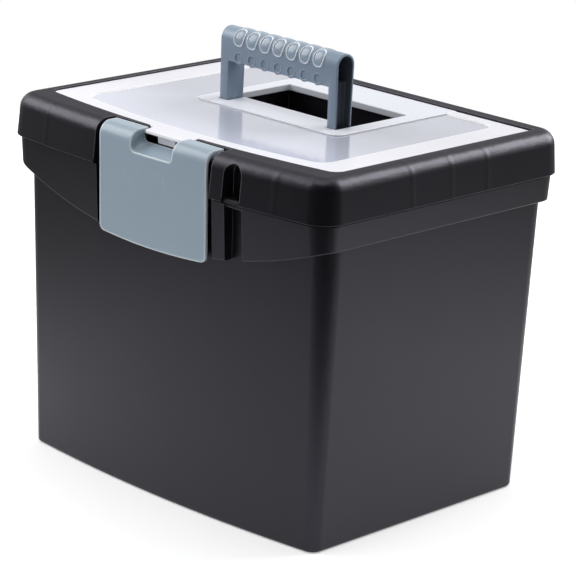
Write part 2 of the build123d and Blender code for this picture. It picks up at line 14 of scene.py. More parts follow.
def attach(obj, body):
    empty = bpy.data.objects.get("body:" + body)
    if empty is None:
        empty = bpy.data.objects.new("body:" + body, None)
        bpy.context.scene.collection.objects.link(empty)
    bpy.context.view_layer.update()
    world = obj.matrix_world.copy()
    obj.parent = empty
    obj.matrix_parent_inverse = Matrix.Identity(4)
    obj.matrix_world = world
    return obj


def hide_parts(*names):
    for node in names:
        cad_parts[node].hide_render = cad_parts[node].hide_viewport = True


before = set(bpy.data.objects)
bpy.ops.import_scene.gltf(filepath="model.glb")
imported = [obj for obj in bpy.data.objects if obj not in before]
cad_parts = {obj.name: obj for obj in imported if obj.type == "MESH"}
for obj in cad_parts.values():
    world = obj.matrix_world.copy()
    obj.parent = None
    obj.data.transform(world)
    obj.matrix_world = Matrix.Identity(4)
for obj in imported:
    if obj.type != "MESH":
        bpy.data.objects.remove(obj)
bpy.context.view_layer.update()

MM = 0.001
log = logging.getLogger("file_box")

Colour = tuple[float, float, float]
Place = tuple[float, float, float]
Span = tuple[float, float]
Test = Callable[[Vector, Vector], bool]

WHITE: Colour = (1.0, 1.0, 1.0)
BLACK: Colour = (0.005, 0.0045, 0.006)
COOL_GLOSS: Colour = (0.86, 0.82, 1.0)
# Colour of the painted highlight along the handle's edges.
HANDLE_EDGE_HIGHLIGHT: Colour = (0.40, 0.47, 0.55)
EVEN = 0.5  # what noise gives on average
PATCH_TONES: Span = (0.7, 1.3)  # the darkest and the lightest patch, as shares of the colour
HIGHLIGHT_TURN: Span = (0.003, 0.05)  # 1 - cosine of the normal's turn, from no painted edge highlight to the full one
GRIP_Y = -2.1 * MM  # middle of the handle's grip, front to back
GRIP_Z = 327.6 * MM  # its height
FAR = 1.0  # past any side of the box, in metres
NEAR = 0.01 * MM  # closer than this is the same place


# ---------------------------------------------------------------- shader maths
class Field:
    """A number or colour that varies over a surface, and adds Math nodes when it is worked with."""

    def __init__(self, graph: "Graph", socket: bpy.types.NodeSocket | None) -> None:
        """Keeps the socket and the graph that it is in.

        Args:
            graph: The graph that new nodes go in.
            socket: The output that carries the value. A node that ends a graph has none.
        """
        self.graph = graph
        self.socket = socket

    def _math(self, operation: str, first: "Field | float", second: "Field | float") -> "Field":
        """One Math node on two values."""
        return self.graph.node("ShaderNodeMath", {"operation": operation}, {0: first, 1: second})

    def __add__(self, other: "Field | float") -> "Field":
        """Sum."""
        return self._math("ADD", self, other)

    def __sub__(self, other: "Field | float") -> "Field":
        """Difference."""
        return self._math("SUBTRACT", self, other)

    def __mul__(self, other: "Field | float") -> "Field":
        """Product."""
        return self._math("MULTIPLY", self, other)

    def __radd__(self, other: float) -> "Field":
        """Sum with a plain number in front."""
        return self._math("ADD", other, self)

    def __rsub__(self, other: float) -> "Field":
        """Difference with a plain number in front."""
        return self._math("SUBTRACT", other, self)

    def __rmul__(self, other: float) -> "Field":
        """Product with a plain number in front."""
        return self._math("MULTIPLY", other, self)

    def size(self) -> "Field":
        """The value without its sign."""
        return self._math("ABSOLUTE", self, 0.0)

    def at_least(self, other: "Field | float") -> "Field":
        """The larger of two values."""
        return self._math("MAXIMUM", self, other)

    def step(self, low: float, high: float) -> "Field":
        """0 below low, 1 above high, and smooth between them.

        Args:
            low: Value at which the step starts.
            high: Value at which it ends. It may lie below low, for a step down.

        Returns:
            The step as a new field.
        """
        settings = {"interpolation_type": "SMOOTHSTEP"}
        inputs = {"Value": self, "From Min": low, "From Max": high, "To Min": 0.0, "To Max": 1.0}
        return self.graph.node("ShaderNodeMapRange", settings, inputs)


Value = Field | float | Colour


class Graph:
    """A node tree that is filled by calls instead of by hand."""

    def __init__(self, tree: bpy.types.NodeTree) -> None:
        """Empties the tree.

        Args:
            tree: The tree of a material or a world.
        """
        self.tree = tree
        tree.nodes.clear()

    def node(self, kind: str, settings: dict[str, object] | None = None,
             inputs: dict[int | str, Value] | None = None, output: int | str = 0) -> Field:
        """Adds one node.

        Args:
            kind: The node's type.
            settings: Its properties, which are set first.
            inputs: Numbers, colours or fields for its sockets, by place or name.
            output: The output that is handed back.

        Returns:
            The output as a field.
        """
        made = self.tree.nodes.new(kind)
        for name, value in (settings or {}).items():
            setattr(made, name, value)
        for name, value in (inputs or {}).items():
            if isinstance(value, Field):
                self.tree.links.new(value.socket, made.inputs[name])
            elif isinstance(value, tuple) and made.inputs[name].type == "RGBA":
                made.inputs[name].default_value = (*value, 1.0)
            else:
                made.inputs[name].default_value = value
        return Field(self, made.outputs[output] if made.outputs else None)

    def place(self, axis: str) -> Field:
        """The object's own coordinate along X, Y or Z, in metres."""
        spot = self.node("ShaderNodeTexCoord", output="Object")
        return self.node("ShaderNodeSeparateXYZ", inputs={0: spot}, output=axis)

    def facing(self, axis: str) -> Field:
        """The surface normal's part along X, Y or Z, as the object stands at rest."""
        normal = self.node("ShaderNodeTexCoord", output="Normal")
        return self.node("ShaderNodeSeparateXYZ", inputs={0: normal}, output=axis)

    def noise(self, size: float, detail: float = 2.0, stretch: Place = (1.0, 1.0, 1.0)) -> Field:
        """Soft noise on Object coordinates.

        Args:
            size: Distance between its lumps, in metres.
            detail: Finer octaves on top.
            stretch: Factor on each axis, below 1 for lumps that run along it.

        Returns:
            The noise, about 0.5 on average.
        """
        spot = self.node("ShaderNodeTexCoord", output="Object")
        spot = self.node("ShaderNodeMapping", {"vector_type": "POINT"},
                         {"Vector": spot, "Scale": stretch})
        return self.node("ShaderNodeTexNoise", {"noise_dimensions": "3D"},
                         {"Vector": spot, "Scale": 1 / size, "Detail": detail}, "Fac")

    def mix(self, factor: Field, low: Value, high: Value) -> Field:
        """A colour between two colours."""
        return self.node("ShaderNodeMix", {"data_type": "RGBA"}, {0: factor, 6: low, 7: high}, 2)

    def bump(self, height: Field, depth: float, edge: float) -> Field:
        """A normal for the shader, with rounded edges and a relief.

        Args:
            height: Relief between 0 and 1.
            depth: What 1 stands for, in metres.
            edge: Radius of the rounded edges, in metres.

        Returns:
            The normal.
        """
        round_edge = self.node("ShaderNodeBevel", {"samples": 6}, {"Radius": edge})
        return self.node("ShaderNodeBump", inputs={"Strength": 1.0, "Distance": depth,
                                                   "Height": height, "Normal": round_edge})

    def edges(self, radius: float) -> Field:
        """1 along sharp edges, where the painted edge highlight goes, and 0 on the faces.

        Args:
            radius: How far it reaches from an edge, in metres.

        Returns:
            The mask.
        """
        turned = self.node("ShaderNodeBevel", {"samples": 6}, {"Radius": radius})
        normal = self.node("ShaderNodeNewGeometry", output="Normal")
        along = self.node("ShaderNodeVectorMath", {"operation": "DOT_PRODUCT"},
                          {0: turned, 1: normal}, "Value")
        return (1 - along).step(*HIGHLIGHT_TURN)

    def surface(self, inputs: dict[int | str, Value]) -> Field:
        """A Principled shader."""
        return self.node("ShaderNodeBsdfPrincipled", inputs=inputs)

    def finish(self, shader: Field, end: str = "ShaderNodeOutputMaterial") -> None:
        """Joins a shader to the output node that ends the graph."""
        self.node(end, inputs={"Surface": shader})


def new_material(name: str) -> tuple[bpy.types.Material, Graph]:
    """An empty material and its graph.

    Args:
        name: Name of the material.

    Returns:
        The material, and the graph that fills it.
    """
    material = bpy.data.materials.new(name)
    material.use_nodes = True
    return material, Graph(material.node_tree)


# ---------------------------------------------------------------- finishes
def toned(colour: Colour, share: float) -> Colour:
    """The same colour, darker for a share below 1 and lighter above."""
    return tuple(part * share for part in colour)


@dataclass(frozen=True)
class MouldedPlastic:
    """Opaque moulded plastic with a fine satin grain.

    Attributes:
        name: Name of the finish.
        colour: Base colour.
        roughness: Middle of the roughness.
        grain: Distance between the grain's pits, in metres.
        grain_depth: Depth of the grain, in metres.
        grain_roughness: How much the pits change the roughness.
        tone: How much lighter and darker the colour turns in soft patches.
        patch: Distance between the patches, in metres.
        patch_roughness: How much the patches change the roughness.
        scuff: Distance between the scuffs, in metres.
        scuffed: Where in the noise a scuff starts, and where it is full.
        scuff_roughness: What a scuff adds to the roughness.
        edge: Radius of the rounded edges, in metres.
        edge_highlight: Colour of the painted highlight along the edges.
        edge_highlight_from: Height from which the edges carry the painted highlight, in metres.
        top: The normal's part along Z, between which a wall turns into a top face.
        top_roughness: What is added to the roughness on top faces.
        ior: Index of refraction, which sets the gloss.
        gloss: Tint of the gloss.
    """

    name: str
    colour: Colour
    roughness: float
    grain: float = 0.7 * MM
    grain_depth: float = 0.012 * MM
    grain_roughness: float = 0.06
    tone: float = 0.12
    patch: float = 60 * MM
    patch_roughness: float = 0.10
    scuff: float = 20 * MM
    scuffed: Span = (0.62, 0.75)
    scuff_roughness: float = 0.04
    edge: float = 0.6 * MM
    edge_highlight: Colour = (0.090, 0.087, 0.100)
    edge_highlight_from: float = -0.1
    top: Span = (0.75, 0.98)
    top_roughness: float = 0.0
    ior: float = 1.5
    gloss: Colour = WHITE

    def make(self) -> bpy.types.Material:
        """Mixes the material.

        Returns:
            The material.
        """
        material, graph = new_material(self.name)
        patches = graph.noise(self.patch, 3.0)
        scuffs = graph.noise(self.scuff, 4.0, (1.0, 1.0, 0.25)).step(*self.scuffed)
        pits = graph.noise(self.grain)
        shade = (patches - EVEN) * (2 * self.tone) + EVEN
        darker, lighter = (toned(self.colour, share) for share in PATCH_TONES)
        colour = self.shaded(graph, graph.mix(shade, darker, lighter))
        # Painted highlight along the edges, from a given height up.
        above = graph.place("Z").step(self.edge_highlight_from, self.edge_highlight_from + 2 * MM)
        colour = graph.mix(graph.edges(self.edge) * above, colour, self.edge_highlight)
        roughness = (self.roughness + (patches - EVEN) * self.patch_roughness
                     + scuffs * self.scuff_roughness + (pits - EVEN) * self.grain_roughness)
        if self.top_roughness:
            roughness = roughness + graph.facing("Z").step(*self.top) * self.top_roughness
        graph.finish(graph.surface({
            "Base Color": colour,
            "Roughness": roughness,
            "IOR": self.ior,
            "Specular Tint": self.gloss,
            "Normal": graph.bump(self.relief(graph, pits), self.grain_depth, self.edge),
        }))
        return material

    def shaded(self, graph: Graph, colour: Field) -> Field:
        """The colour as it is, with no painted shade, for a piece with no deep hollow."""
        return colour

    def relief(self, graph: Graph, pits: Field) -> Field:
        """The pits of the grain alone, for a piece with no marks in its skin."""
        return pits


@dataclass(frozen=True)
class LidPlastic(MouldedPlastic):
    """The lid's plastic, with faint marks where ribs inside have drawn the skin in, and ripples.

    Attributes:
        rib_x: Distance of the front's ribs from the middle, in metres.
        rib_y: Places of the side walls' ribs, front to back, in metres.
        rib_reach: How far a mark reaches to each side, in metres.
        rib_rise: Height of the marks, in grain depths.
        ripple: Distance between the ripples, in metres.
        ripple_rise: Height of the ripples, in grain depths.
    """

    rib_x: float = 121 * MM
    rib_y: tuple[float, ...] = (-40 * MM, 1.5 * MM, 40.5 * MM)
    rib_reach: float = 4 * MM
    rib_rise: float = 12.0
    ripple: float = 35 * MM
    ripple_rise: float = 12.0

    def relief(self, graph: Graph, pits: Field) -> Field:
        """Lays the marks and the ripples over the grain.

        Args:
            graph: The graph that they are drawn in.
            pits: The pits of the grain.

        Returns:
            The relief, in grain depths.
        """
        across, along = graph.place("X"), graph.place("Y")
        marks = (across.size() - self.rib_x).size().step(self.rib_reach, 0.0) * self.rib_rise
        for place in self.rib_y:
            marks = marks + (along - place).size().step(self.rib_reach, 0.0) * self.rib_rise
        return pits + marks + graph.noise(self.ripple, 1.0) * self.ripple_rise


@dataclass(frozen=True)
class HandlePlastic(MouldedPlastic):
    """The handle's plastic, with painted shade deep inside the hollow grip and the open legs.

    Attributes:
        axis_y: Middle of the grip, front to back, in metres.
        grip_z: Height of the grip's middle, in metres.
        hollow: Radius of the hollow, in metres.
        blur: How far the painted shade runs over the hollow's edge, in metres.
        step_z: Height at which the grip's hollow starts, in metres.
        leg_x: Where the legs' hollows start, from the middle, in metres.
        dark: Share of the colour that is left inside, as painted shade.
    """

    axis_y: float = GRIP_Y
    grip_z: float = GRIP_Z
    hollow: float = 7.7 * MM
    blur: float = 0.2 * MM
    step_z: float = 313.4 * MM
    leg_x: Span = (53.5 * MM, 54.5 * MM)
    dark: float = 0.22

    def shaded(self, graph: Graph, colour: Field) -> Field:
        """Paints shade inside the hollows: the colour turns darker there.

        Args:
            graph: The graph of the material.
            colour: The colour outside.

        Returns:
            The colour everywhere.
        """
        across = graph.place("Y") - self.axis_y
        up = graph.place("Z")
        over = (up - self.grip_z).at_least(0.0)
        away = across * across + over * over
        inside = away.step((self.hollow + self.blur) ** 2, (self.hollow - self.blur) ** 2)
        # Painted shade inside the grip's hollow and the legs' open sides.
        grip_shade = inside * up.step(self.step_z, self.step_z + MM)
        leg_shade = inside * graph.place("X").size().step(*self.leg_x)
        dark = toned(self.colour, self.dark)
        return graph.mix(grip_shade, graph.mix(leg_shade, colour, dark), dark)


@dataclass(frozen=True)
class CoverPlastic:
    """Pale translucent plastic: frosted where it is raised, polished on the sunken panel.

    Attributes:
        name: Name of the finish.
        rim: Colour of the frosted rim.
        panel: Colour of the polished panel.
        edge_highlight: Colour of the painted highlight along the edges.
        rear_rim_shade: Share of the rim's colour that is left at the rear, as painted shade.
        rear_panel_shade: Share of the panel's colour that is left at the rear, as painted shade.
        ahead: Along Y, from the rear's painted shade to the front's colours, in metres.
        sunk: Heights between which the rim turns into the panel, in metres.
        lip: Heights between which the walls take the edges' painted highlight, in metres.
        level: The normal's part along Z, between which a wall turns into a level face.
        cloud: Distance between soft clouds in the panel, in metres.
        cloud_tone: How much the clouds shift the panel's colour.
        frost: Distance between the frost's pits, in metres.
        frost_tone: How much the pits shift the rim's colour.
        frost_depth: Depth of the frost, in metres.
        frost_roughness: How much the pits change the roughness.
        streak: Distance between streaks in the polish, in metres.
        streak_roughness: What a streak adds to the panel's roughness.
        roughness: Middle of the frost's roughness.
        polish: How much less rough the panel is.
        ior: Index of refraction, which sets the gloss.
        coat: Strength of the panel's clear gloss.
        coat_roughness: Roughness of that gloss.
        edge: Radius of the rounded edges, in metres.
        edge_reach: How far the painted edge highlight reaches, in metres.
    """

    name: str
    rim: Colour = (0.75, 0.75, 0.80)
    panel: Colour = (0.58, 0.60, 0.71)
    edge_highlight: Colour = (0.95, 0.95, 0.96)
    rear_rim_shade: float = 0.86
    rear_panel_shade: float = 0.64
    ahead: Span = (0.0, -110 * MM)
    sunk: Span = (280.8 * MM, 280.6 * MM)
    lip: Span = (279.5 * MM, 279.8 * MM)
    level: Span = (0.9, 0.97)
    cloud: float = 90 * MM
    cloud_tone: float = 0.5
    frost: float = 0.5 * MM
    frost_tone: float = 0.3
    frost_depth: float = 0.012 * MM
    frost_roughness: float = 0.12
    streak: float = 12 * MM
    streak_roughness: float = 0.06
    roughness: float = 0.42
    polish: float = 0.34
    ior: float = 1.5
    coat: float = 0.2
    coat_roughness: float = 0.06
    edge: float = 0.6 * MM
    edge_reach: float = 1.5 * MM

    def make(self) -> bpy.types.Material:
        """Mixes the material.

        Returns:
            The material.
        """
        material, graph = new_material(self.name)
        level, up = graph.facing("Z").step(*self.level), graph.place("Z")
        glossy = up.step(*self.sunk) * level
        lip = (1 - level) * up.step(*self.lip)
        cloud, frost = graph.noise(self.cloud), graph.noise(self.frost)
        streak = graph.noise(self.streak, 3.0, (0.15, 1.0, 1.0))
        # Painted shade: the rim and the panel turn darker toward the rear.
        ahead = graph.place("Y").step(*self.ahead)
        panel = graph.mix((cloud - EVEN) * self.cloud_tone + ahead,
                          toned(self.panel, self.rear_panel_shade), self.panel)
        rim = graph.mix(ahead + (frost - EVEN) * self.frost_tone,
                        toned(self.rim, self.rear_rim_shade), self.rim)
        roughness = (self.roughness + (frost - EVEN) * self.frost_roughness
                     - glossy * (self.polish - streak * self.streak_roughness))
        # Painted highlight along the edges and on the walls of the lip.
        painted_highlight = graph.edges(self.edge_reach).at_least(lip)
        graph.finish(graph.surface({
            "Base Color": graph.mix(painted_highlight, graph.mix(glossy, rim, panel), self.edge_highlight),
            "Roughness": roughness,
            "IOR": self.ior,
            "Coat Weight": glossy * self.coat,
            "Coat Roughness": self.coat_roughness,
            "Normal": graph.bump(frost * (1 - glossy), self.frost_depth, self.edge),
        }))
        return material


@dataclass(frozen=True)
class SteelWire:
    """Drawn steel, with fine lines along the wire.

    Attributes:
        name: Name of the finish.
        colour: Base colour.
        dull: Share of the colour that is left between the lines.
        line: Distance between the lines, in metres.
        line_depth: Depth of the lines, in metres.
        roughness: Smallest roughness.
        line_roughness: How much the lines add to it.
        edge: Radius of the rounded edges, in metres.
    """

    name: str
    colour: Colour = (0.55, 0.55, 0.57)
    dull: float = 0.7
    line: float = 0.3 * MM
    line_depth: float = 0.01 * MM
    roughness: float = 0.26
    line_roughness: float = 0.16
    edge: float = 0.2 * MM

    def make(self) -> bpy.types.Material:
        """Mixes the material.

        Returns:
            The material.
        """
        material, graph = new_material(self.name)
        lines = graph.noise(self.line, 3.0, (0.02, 1.0, 1.0))
        dull = toned(self.colour, self.dull)
        graph.finish(graph.surface({
            "Base Color": graph.mix(lines.step(0.3, 0.7), dull, self.colour),
            "Metallic": 1.0,
            "Roughness": self.roughness + lines * self.line_roughness,
            "Normal": graph.bump(lines, self.line_depth, self.edge),
        }))
        return material


# ---------------------------------------------------------------- bench work
class Choose(Enum):
    """What is picked in edit mode."""

    POINTS = "VERT"
    EDGES = "EDGE"


class Cut(Enum):
    """What a tool does to a piece."""

    AWAY = "DIFFERENCE"
    TOGETHER = "UNION"


class Along(Enum):
    """How a round tool is turned to lie along an axis."""

    X = (0, math.pi / 2, 0)
    Y = (math.pi / 2, 0, 0)


def alone(piece: bpy.types.Object) -> None:
    """Selects one object and nothing else.

    Args:
        piece: The object.
    """
    bpy.ops.object.select_all(action="DESELECT")
    piece.select_set(True)
    bpy.context.view_layer.objects.active = piece


def settle(piece: bpy.types.Object, name: str) -> bpy.types.Object:
    """Puts a piece's place into its mesh and gives it its name.

    Args:
        piece: The new piece.
        name: Its name.

    Returns:
        The same piece.
    """
    alone(piece)
    bpy.ops.object.transform_apply(location=True, rotation=True, scale=True)
    piece.name = piece.data.name = name
    return piece


@contextmanager
def editing(piece: bpy.types.Object, kind: Choose = Choose.POINTS) -> Iterator[None]:
    """Edit mode on one piece, with nothing selected in it.

    Args:
        piece: The piece.
        kind: What is picked.

    Yields:
        Nothing.
    """
    alone(piece)
    bpy.ops.object.mode_set(mode="EDIT")
    bpy.ops.mesh.select_mode(type=kind.value)
    bpy.ops.mesh.select_all(action="DESELECT")
    yield
    bpy.ops.object.mode_set(mode="OBJECT")


def pick(test: Test) -> None:
    """Selects points by their place and normal, or edges by their middle and run.

    Args:
        test: Says of a place and a normal, or of a middle and a run, whether they are meant.
    """
    mesh = bmesh.from_edit_mesh(bpy.context.object.data)
    points, *_ = bpy.context.tool_settings.mesh_select_mode
    if points:
        for vertex in mesh.verts:
            vertex.select_set(test(vertex.co, vertex.normal))
    else:
        for edge in mesh.edges:
            first, second = edge.verts
            edge.select_set(test((first.co + second.co) / 2, second.co - first.co))
    mesh.select_flush_mode()
    bmesh.update_edit_mesh(bpy.context.object.data)


def modify(piece: bpy.types.Object, kind: str, **settings: object) -> None:
    """Adds one modifier to a piece and applies it.

    Args:
        piece: The piece.
        kind: The modifier's type.
        settings: Its properties.
    """
    alone(piece)
    modifier = piece.modifiers.new(kind.title(), kind)
    for name, value in settings.items():
        setattr(modifier, name, value)
    bpy.ops.object.modifier_apply(modifier=modifier.name)


def cut(piece: bpy.types.Object, tool: bpy.types.Object, how: Cut = Cut.AWAY) -> None:
    """Cuts a tool out of a piece or joins it on, and puts the tool away.

    Args:
        piece: The piece that stays.
        tool: The piece that is used up.
        how: What the tool does.
    """
    modify(piece, "BOOLEAN", object=tool, operation=how.value, solver="EXACT")
    bpy.data.objects.remove(tool)


def block(low: Place, high: Place) -> bpy.types.Object:
    """A box between two corners, as a tool for cutting.

    Args:
        low: The corner with the smallest coordinates.
        high: The corner with the largest.

    Returns:
        The box.
    """
    middle = [(first + second) / 2 for first, second in zip(low, high)]
    bpy.ops.mesh.primitive_cube_add(size=1, location=middle)
    tool = bpy.context.object
    tool.scale = [second - first for first, second in zip(low, high)]
    return settle(tool, "tool")


# ---------------------------------------------------------------- sub-assemblies
@dataclass
class MouldedPart:
    """A piece whose shape is the frame's own, dressed with a finish.

    Attributes:
        node: The CAD node.
        finish: Its finish.
    """

    node: str
    finish: MouldedPlastic | CoverPlastic | SteelWire

    def build(self) -> None:
        """Gives the node its material."""
        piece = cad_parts[self.node]
        material = self.finish.make()
        for holder in piece.material_slots:
            holder.material = material
        log.info("%s: dressed as %s", self.node, self.finish.name)


@dataclass
class RoundedPart(MouldedPart):
    """A piece whose shape is the frame's own, with its sharp edges rounded off.

    Attributes:
        body: The body that it rides on.
        slot: Its material slot in the record. Not used.
        radius: Radius of the rounded edges, in metres.
        merge: Points nearer than this become one, in metres.
        flat: Largest turn between faces that become one, in degrees.
        sharp: Smallest turn of an edge that is rounded, in degrees.
        smooth: Largest turn between faces that are shaded as one, in degrees.
    """

    body: str
    slot: str
    radius: float = 0.7 * MM
    merge: float = 0.005 * MM
    flat: float = 0.4
    sharp: float = 40.0
    smooth: float = 30.0

    def build(self) -> None:
        """Rounds a merged copy of the node, and lets it stand for the node."""
        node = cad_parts[self.node]
        piece = node.copy()
        piece.data = node.data.copy()
        piece.parent = None
        bpy.context.collection.objects.link(piece)
        settle(piece, f"{self.node}_rounded")
        with editing(piece):
            bpy.ops.mesh.select_all(action="SELECT")
            bpy.ops.mesh.remove_doubles(threshold=self.merge)
            bpy.ops.mesh.customdata_custom_splitnormals_clear()
            bpy.ops.mesh.dissolve_limited(angle_limit=math.radians(self.flat))
            bpy.ops.mesh.mark_sharp(clear=True)
        modify(piece, "BEVEL", width=self.radius, segments=3, limit_method="ANGLE",
               angle_limit=math.radians(self.sharp), use_clamp_overlap=True,
               miter_outer="MITER_ARC")
        alone(piece)
        bpy.ops.object.shade_smooth_by_angle(angle=math.radians(self.smooth))
        modify(piece, "WEIGHTED_NORMAL", keep_sharp=True, weight=60)
        piece.data.materials.clear()
        piece.data.materials.append(self.finish.make())
        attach(piece, self.body)
        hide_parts(self.node)
        log.info("%s: rounded, %d faces", self.node, len(piece.data.polygons))


@dataclass
class CarryHandle:
    """The bail: two open-sided legs and a hollow grip with seven rings over it and pads under it.

    Attributes:
        finish: Its plastic.
        worn_and_sheen: The same plastic, smoother on the swellings of the grip, and lighter there
            as a painted sheen.
        polish: A far lighter plastic on the beads of the rings, as a painted highlight.
        width: Across both legs, in metres, as every size here.
        leg: Width of one leg.
        wall: Thickness of the walls.
        axis_y: Place of the pivot, front to back.
        axis_z: Height of the pivot.
        foot_radius: Radius round the pivot.
        grip_z: Height of the grip's middle.
        grip_radius: Radius of the grip's back.
        grip_low: Height of the grip's underside.
        beside: A distance past the handle's front and rear.
        below: A height under the legs' feet.
        bore: Radius of the bore in each leg.
        edge: Radius of the rounded edges.
        sharp: Smallest turn of an edge that is rounded, in degrees.
        smooth: Largest turn between faces that are shaded as one, in degrees.
        ring_count: Number of rings.
        ring_pitch: From one ring to the next.
        ring_width: Width of a ring.
        ring_rise: How far a ring swells over the grip's back.
        ring_root: How far a swelling is rooted in the grip.
        ring_cuts: Cuts across a swelling, which shape its curve.
        ring_low: How far a swelling reaches below the grip's middle.
        ring_inner: How far inside the grip's back a swelling is hollow.
        bead_radius: Radius of the round bead on a ring.
        bead_inset: How much narrower than the ring the bead is, on each side.
        bead_lift: How far the bead's middle lies over the grip's back.
        bead_lean: Turn of the bead's middle, from the front up, in degrees.
        bead_spread: Turn from the bead's middle to its upper and lower end, in degrees.
        bead_reach: Distance from which the bead is laid on the grip.
        pad_radius: Radius of the pads below the rings.
        pad_drop: How far the pads reach below the grip.
        pad_inset: How far inside the grip's sides the pads are hollow.
        pad_floor: How far over the grip's underside their hollow starts.
        dimple_inset: Width of the border round the sink in a pad.
        dimple_lift: How far the sink's middle lies over the pad's.
        dimple_depth: How far inside the grip's sides the sink ends.
    """

    finish: MouldedPlastic
    worn_and_sheen: MouldedPlastic
    polish: MouldedPlastic
    width: float = 122.0 * MM
    leg: float = 8.2 * MM
    wall: float = 2.2 * MM
    axis_y: float = GRIP_Y
    axis_z: float = 269.5 * MM
    foot_radius: float = 8.4 * MM
    grip_z: float = GRIP_Z
    grip_radius: float = 9.4 * MM
    grip_low: float = 311.7 * MM
    beside: float = 0.1
    below: float = 0.2
    bore: float = 4.08 * MM
    edge: float = 0.55 * MM
    sharp: float = 38.0
    smooth: float = 35.0
    ring_count: int = 7
    ring_pitch: float = 13.9 * MM
    ring_width: float = 11.2 * MM
    ring_rise: float = 0.65 * MM
    ring_root: float = 0.3 * MM
    ring_cuts: int = 9
    ring_low: float = 2.4 * MM
    ring_inner: float = 0.8 * MM
    bead_radius: float = 0.55 * MM
    bead_inset: float = 0.5 * MM
    bead_lift: float = 0.40 * MM
    bead_lean: float = 27.0
    bead_spread: float = 43.0
    bead_reach: float = 20 * MM
    pad_radius: float = 4.6 * MM
    pad_drop: float = 0.8 * MM
    pad_inset: float = 0.7 * MM
    pad_floor: float = 0.8 * MM
    dimple_inset: float = 1.1 * MM
    dimple_lift: float = 0.6 * MM
    dimple_depth: float = 0.75 * MM

    def build(self) -> None:
        """Makes the handle in one piece, lets it stand for the CAD node and dresses it."""
        half, inner, inside = self.width / 2, self.width / 2 - self.leg, self.grip_low + self.wall
        bar = self.upright(0.0, self.width, "carry_handle")
        cut(bar, block((-inner, -self.beside, self.below), (inner, self.beside, self.grip_low)))
        web = inner + self.wall
        hollow = self.upright(self.wall, self.width + 2 * MM, "tool")
        cut(hollow, block((-web, -self.beside, self.below), (web, self.beside, inside)))
        cut(bar, hollow)
        for side in (-1, 1):
            cut(bar, self.post(Along.X, self.bore, self.leg + MM, self.axis_z, sides=48,
                               x=side * (half - self.leg / 2)))
        modify(bar, "BEVEL", width=self.edge, segments=3, limit_method="ANGLE",
               angle_limit=math.radians(self.sharp), use_clamp_overlap=True)
        cut(bar, self.row(self.pad()), Cut.TOGETHER)
        cut(bar, self.row(self.dimple()))
        humps, rims = self.row(self.hump()), self.row(self.rim())
        bar.data.materials.clear()
        bar.data.materials.append(self.finish.make())
        # The swellings get a lighter colour, a painted sheen, and less roughness.
        humps.data.materials.append(self.worn_and_sheen.make())
        # The beads get a far lighter colour, a painted highlight.
        rims.data.materials.append(self.polish.make())
        alone(bar)
        for one in (humps, rims):
            one.select_set(True)
        bpy.ops.object.join()
        bpy.ops.object.shade_smooth_by_angle(angle=math.radians(self.smooth))
        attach(bar, "handle")
        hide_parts("handle")
        log.info("carry_handle: %d faces", len(bar.data.polygons))

    def row(self, model: bpy.types.Object) -> bpy.types.Object:
        """The same shape at each ring's place, joined into one piece.

        Args:
            model: The shape in the middle of the grip. It is used up.

        Returns:
            The whole row.
        """
        copies = []
        for index in range(self.ring_count):
            piece = model.copy()
            piece.data = model.data.copy()
            bpy.context.collection.objects.link(piece)
            piece.location = ((index - (self.ring_count - 1) / 2) * self.ring_pitch, 0, 0)
            copies.append(settle(piece, "tool"))
        bpy.data.objects.remove(model)
        alone(copies[0])
        for piece in copies[1:]:
            piece.select_set(True)
        bpy.ops.object.join()
        return bpy.context.object

    def upright(self, inset: float, length: float, name: str) -> bpy.types.Object:
        """The legs' and the grip's shared outline, drawn out from side to side.

        Args:
            inset: How far inside the outer surface it lies.
            length: From side to side.
            name: Name of the piece.

        Returns:
            The solid.
        """
        bpy.ops.mesh.primitive_circle_add(
            vertices=64, radius=self.grip_radius - inset, fill_type="NOTHING",
            location=(-length / 2, self.axis_y, self.grip_z), rotation=Along.X.value)
        piece = settle(bpy.context.object, name)
        shrink = (self.foot_radius - inset) / (self.grip_radius - inset)
        with editing(piece):
            pick(lambda spot, _: spot.z < self.grip_z - NEAR)
            bpy.ops.transform.translate(value=(0, 0, self.axis_z - self.grip_z))
            bpy.ops.transform.resize(value=(1, shrink, shrink),
                                     center_override=(0, self.axis_y, self.axis_z))
            bpy.ops.mesh.select_all(action="SELECT")
            bpy.ops.mesh.edge_face_add()
            bpy.ops.mesh.extrude_region_move(TRANSFORM_OT_translate={"value": (length, 0, 0)})
            bpy.ops.mesh.select_all(action="SELECT")
            bpy.ops.mesh.normals_make_consistent(inside=False)
        return piece

    def post(self, along: Along, radius: float, length: float, z: float, sides: int = 64,
             x: float = 0.0) -> bpy.types.Object:
        """A cylinder whose middle lies in the handle's plane.

        Args:
            along: The axis that it lies along.
            radius: Its radius.
            length: Its length.
            z: Height of its middle.
            sides: Number of its sides.
            x: Place of its middle along the grip.

        Returns:
            The cylinder.
        """
        bpy.ops.mesh.primitive_cylinder_add(vertices=sides, radius=radius, depth=length,
                                            location=(x, self.axis_y, z), rotation=along.value)
        return settle(bpy.context.object, "tool")

